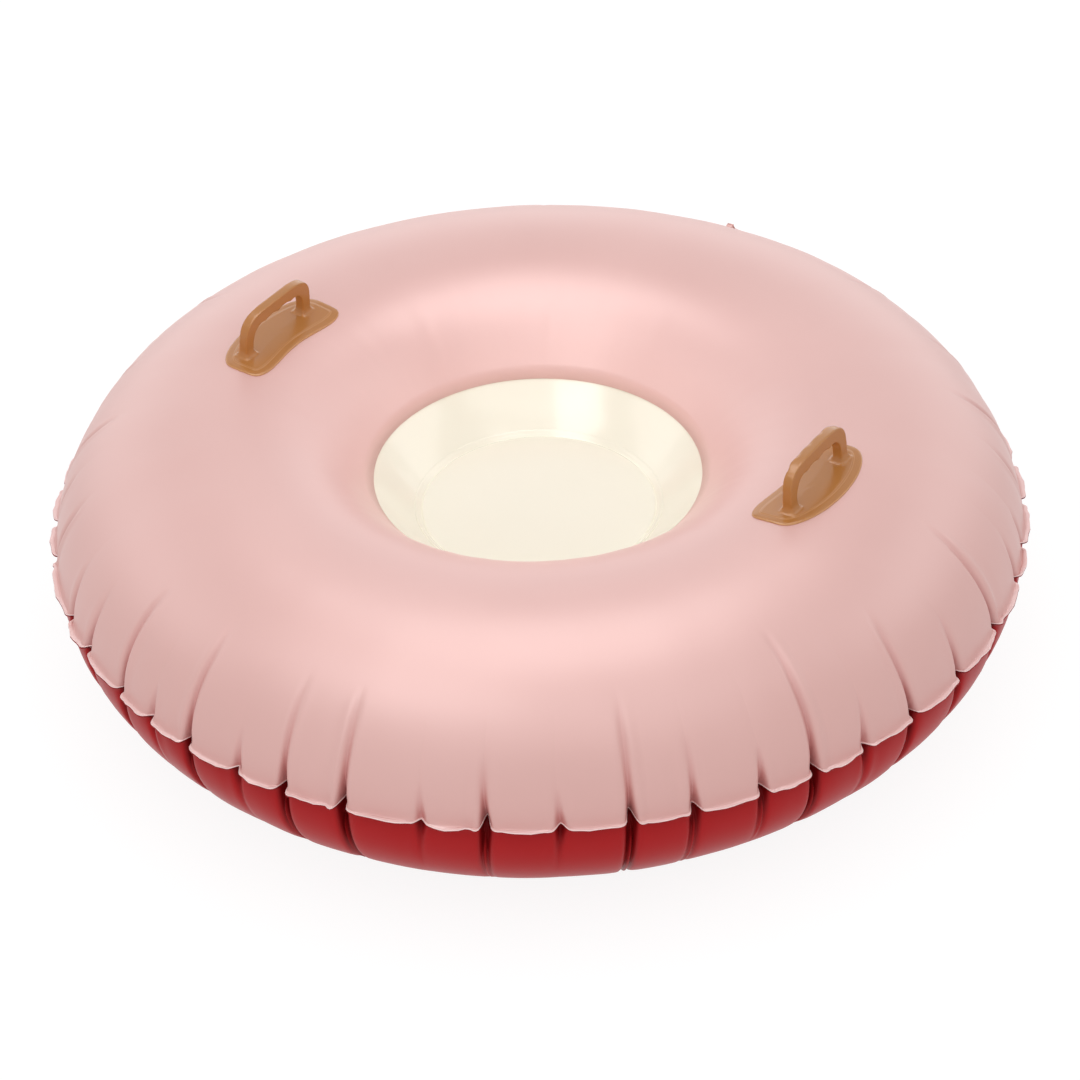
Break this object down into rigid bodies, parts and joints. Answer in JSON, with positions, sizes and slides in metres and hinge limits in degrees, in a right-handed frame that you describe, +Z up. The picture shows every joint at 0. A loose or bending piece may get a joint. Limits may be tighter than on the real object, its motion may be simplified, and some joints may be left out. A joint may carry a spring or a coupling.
{
  "type": "snow tube",
  "caption": "Round inflatable snow tube with a sunken seat, a puckered welded rim, two moulded grip handles and a capped air valve.",
  "frame": {"origin": "on the ground, under the middle of the ring", "axes": "+Z up through the seat, +X through the right handle, -X through the left handle, +Y towards the air valve"},
  "size_m": [0.924, 0.9234, 0.2878],
  "materials": {
    "pink_vinyl": "satin soft film",
    "red_vinyl": "satin soft film",
    "cream_vinyl": "glossy soft film",
    "camel_vinyl": "satin soft moulding",
    "valve_vinyl": "soft clear moulding"
  },
  "bodies": {
    "tube": {"top_skin": "pink_vinyl", "bottom_skin": "red_vinyl", "well_wall": "cream_vinyl", "floor_panel": "cream_vinyl", "left_handle": "camel_vinyl", "right_handle": "camel_vinyl", "valve_body": "valve_vinyl"},
    "stopper": {"valve_stopper": "valve_vinyl"},
    "check_flap": {"valve_flap": "valve_vinyl"}
  },
  "joints": [
    {"name": "stopper_hinge", "type": "hinge", "parent": "tube", "child": "stopper", "pos_m": [0, 0.42726, 0.2013], "axis": [1, 0, 0], "range_deg": [0, 150]},
    {"name": "flap_hinge", "type": "hinge", "parent": "tube", "child": "check_flap", "pos_m": [0, 0.41289, 0.1754], "axis": [-1, 0, 0], "range_deg": [0, 40], "stiffness_Nm_per_rad": 0.00005, "springref_deg": -22.92}
  ]
}
